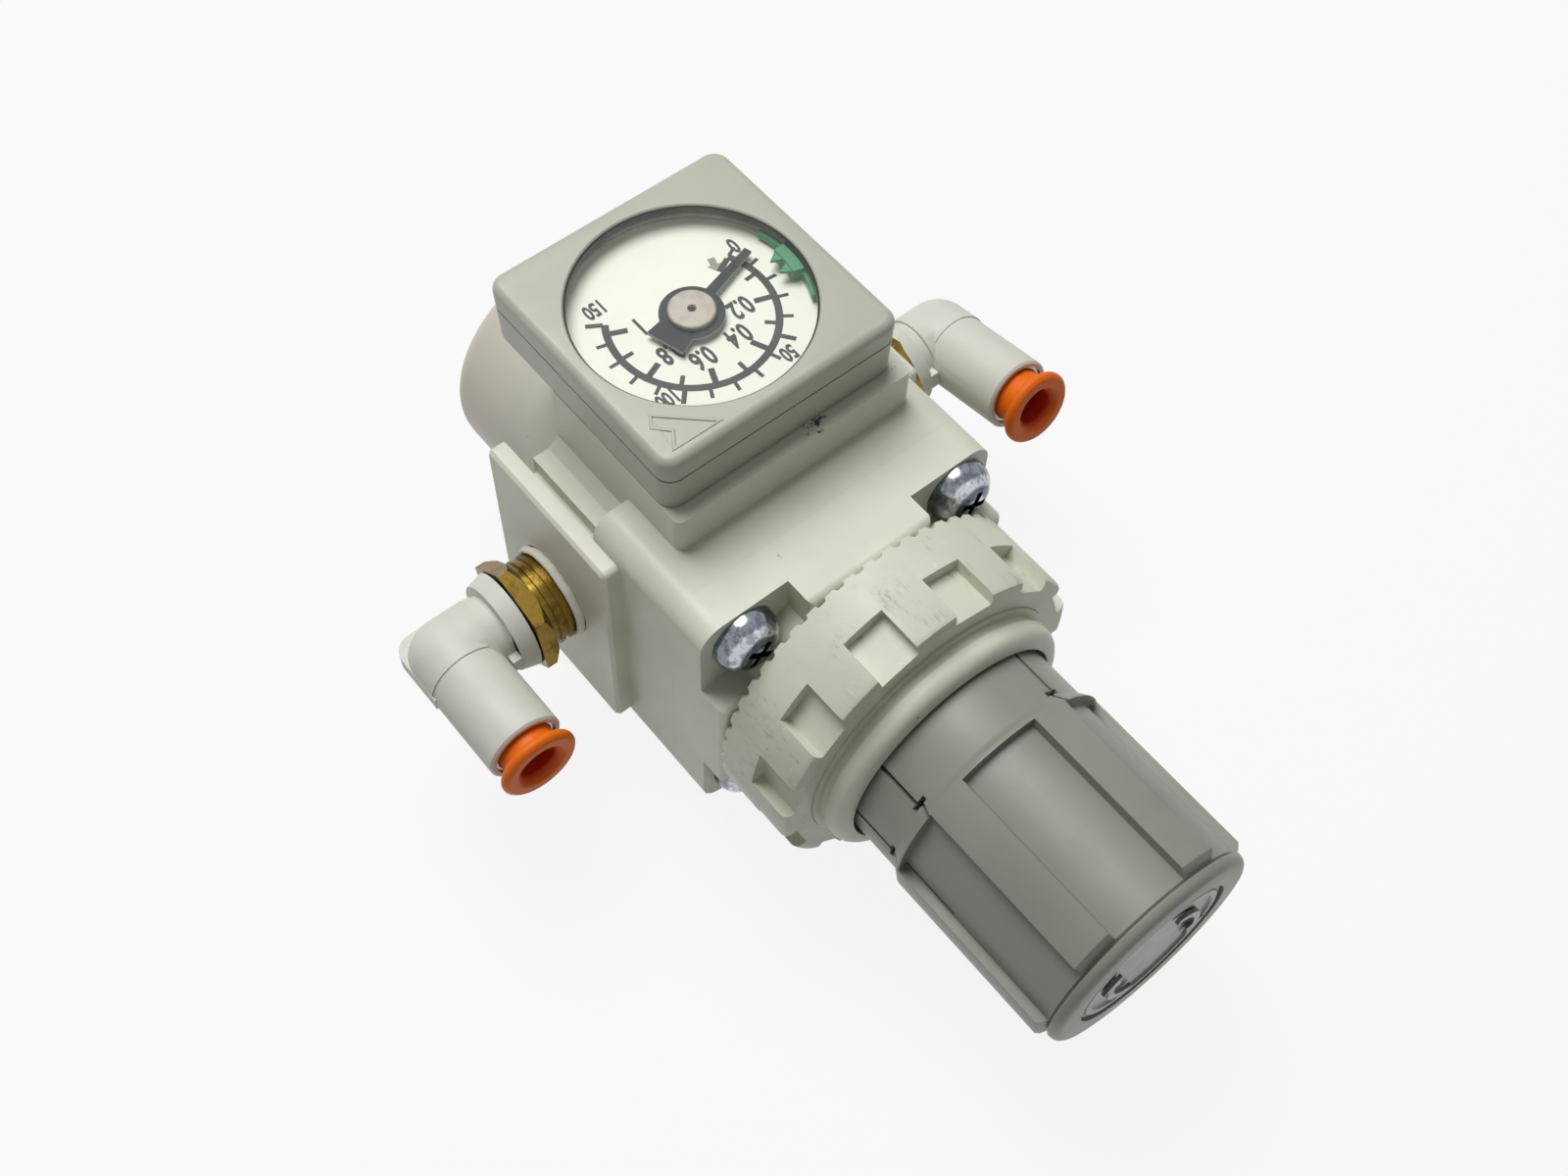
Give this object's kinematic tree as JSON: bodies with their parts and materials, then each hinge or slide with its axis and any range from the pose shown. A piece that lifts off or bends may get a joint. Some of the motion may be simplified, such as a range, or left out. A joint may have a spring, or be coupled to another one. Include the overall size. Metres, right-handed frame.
{
  "type": "pneumatic pressure regulator",
  "caption": "Compact pneumatic pressure regulator with a square embedded dial gauge, push-lock knob, panel nut and two push-in elbow fittings.",
  "frame": {"origin": "on the flat back face, straight below the crossing of the port axis and the stem axis", "axes": "+Z out of the gauge face, -Y along the stem axis towards the knob, +X along the port axis"},
  "size_m": [0.0754, 0.0951, 0.0495],
  "materials": {
    "grey_casting": "light warm grey paint on a die casting, satin",
    "grey_moulding": "light warm grey moulding, satin, scuffed on the nut",
    "cover_grey": "mid grey moulding, fine matt grain",
    "knob_grey": "darker greenish grey moulding, satin",
    "zinc": "bright zinc plate",
    "spring_steel": "spring wire",
    "brass": "bare brass, slightly dull",
    "sealant_white": "white thread sealant",
    "rubber_black": "black nitrile rubber",
    "elbow_resin": "off-white glossy resin",
    "button_orange": "orange glossy resin",
    "window_clear": "clear flat window",
    "dial_white": "white dial with dark grey print",
    "pointer_black": "black lacquer",
    "hub_silver": "turned silver hub",
    "limit_green": "green translucent moulding"
  },
  "bodies": {
    "frame": {"body": "grey_casting", "bonnet": "grey_moulding", "bonnet_screws": "zinc", "bottom_cap": "grey_moulding", "cap_seal": "rubber_black", "back_plug": "zinc", "gauge_case": "cover_grey", "gauge_seal": "rubber_black", "gauge_screws": "zinc", "gauge_movement": "brass", "dial": "dial_white", "gauge_cover": "cover_grey", "window": "window_clear", "diaphragm": "rubber_black", "regulating_spring": "spring_steel", "valve_spring": "spring_steel", "stud_left": "brass", "stud_right": "brass", "stud_seal_left": "sealant_white", "stud_seal_right": "sealant_white"},
    "screw": {"adjusting_screw": "zinc"},
    "knob": {"knob": "knob_grey", "knob_disc": "knob_grey"},
    "loader": {"spring_nut": "brass"},
    "diaphragm_group": {"diaphragm_plate": "zinc", "diaphragm_stem": "brass"},
    "poppet": {"valve": "brass"},
    "needle": {"pointer": "pointer_black", "pointer_hub": "hub_silver"},
    "limit": {"limit_indicator": "limit_green"},
    "ring_nut": {"set_nut": "grey_moulding"},
    "swivel_left": {"elbow_left": "elbow_resin", "elbow_seal_left": "rubber_black", "tube_seal_left": "rubber_black", "chuck_left": "spring_steel"},
    "release_left": {"release_button_left": "button_orange"},
    "swivel_right": {"elbow_right": "elbow_resin", "elbow_seal_right": "rubber_black", "tube_seal_right": "rubber_black", "chuck_right": "spring_steel"},
    "release_right": {"release_button_right": "button_orange"}
  },
  "joints": [
    {"name": "knob_turn", "type": "hinge", "parent": "frame", "child": "screw", "pos_m": [0, -0.045, 0.02], "axis": [0, 1, 0], "range_deg": [0, 1890]},
    {"name": "knob_pull", "type": "slide", "parent": "screw", "child": "knob", "axis": [0, -1, 0], "range_m": [0, 0.0025]},
    {"name": "loader_travel", "type": "slide", "parent": "frame", "child": "loader", "axis": [0, 1, 0], "range_m": [0, 0.00526], "deforming": ["regulating_spring"]},
    {"name": "diaphragm_travel", "type": "slide", "parent": "frame", "child": "diaphragm_group", "axis": [0, 1, 0], "range_m": [0, 0.0008], "stiffness_N_per_m": 300, "deforming": ["diaphragm"]},
    {"name": "poppet_travel", "type": "slide", "parent": "frame", "child": "poppet", "axis": [0, 1, 0], "range_m": [0, 0.0008], "deforming": ["valve_spring"]},
    {"name": "needle_turn", "type": "hinge", "parent": "frame", "child": "needle", "pos_m": [0, 0.00195, 0.0478], "axis": [0, 0, -1], "range_deg": [0, 232]},
    {"name": "limit_turn", "type": "hinge", "parent": "frame", "child": "limit", "pos_m": [0, 0.00195, 0.048], "axis": [0, 0, -1], "range_deg": [-32, 199]},
    {"name": "nut_turn", "type": "hinge", "parent": "frame", "child": "ring_nut", "pos_m": [0, -0.031, 0.02], "axis": [0, 1, 0], "continuous": true},
    {"name": "swivel_left_turn", "type": "hinge", "parent": "frame", "child": "swivel_left", "pos_m": [-0.028, 0, 0.02], "axis": [1, 0, 0], "continuous": true},
    {"name": "release_left_press", "type": "slide", "parent": "swivel_left", "child": "release_left", "axis": [0, 1, 0], "range_m": [0, 0.001], "stiffness_N_per_m": 150},
    {"name": "swivel_right_turn", "type": "hinge", "parent": "frame", "child": "swivel_right", "pos_m": [0.028, 0, 0.02], "axis": [1, 0, 0], "continuous": true},
    {"name": "release_right_press", "type": "slide", "parent": "swivel_right", "child": "release_right", "axis": [0, 0.9799, -0.1994], "range_m": [0, 0.0016], "stiffness_N_per_m": 150}
  ],
  "couplings": [
    {"joint": "loader_travel", "follows": "knob_turn", "m_per_rad": 0.00015915},
    {"joint": "poppet_travel", "follows": "diaphragm_travel", "ratio": 1}
  ]
}
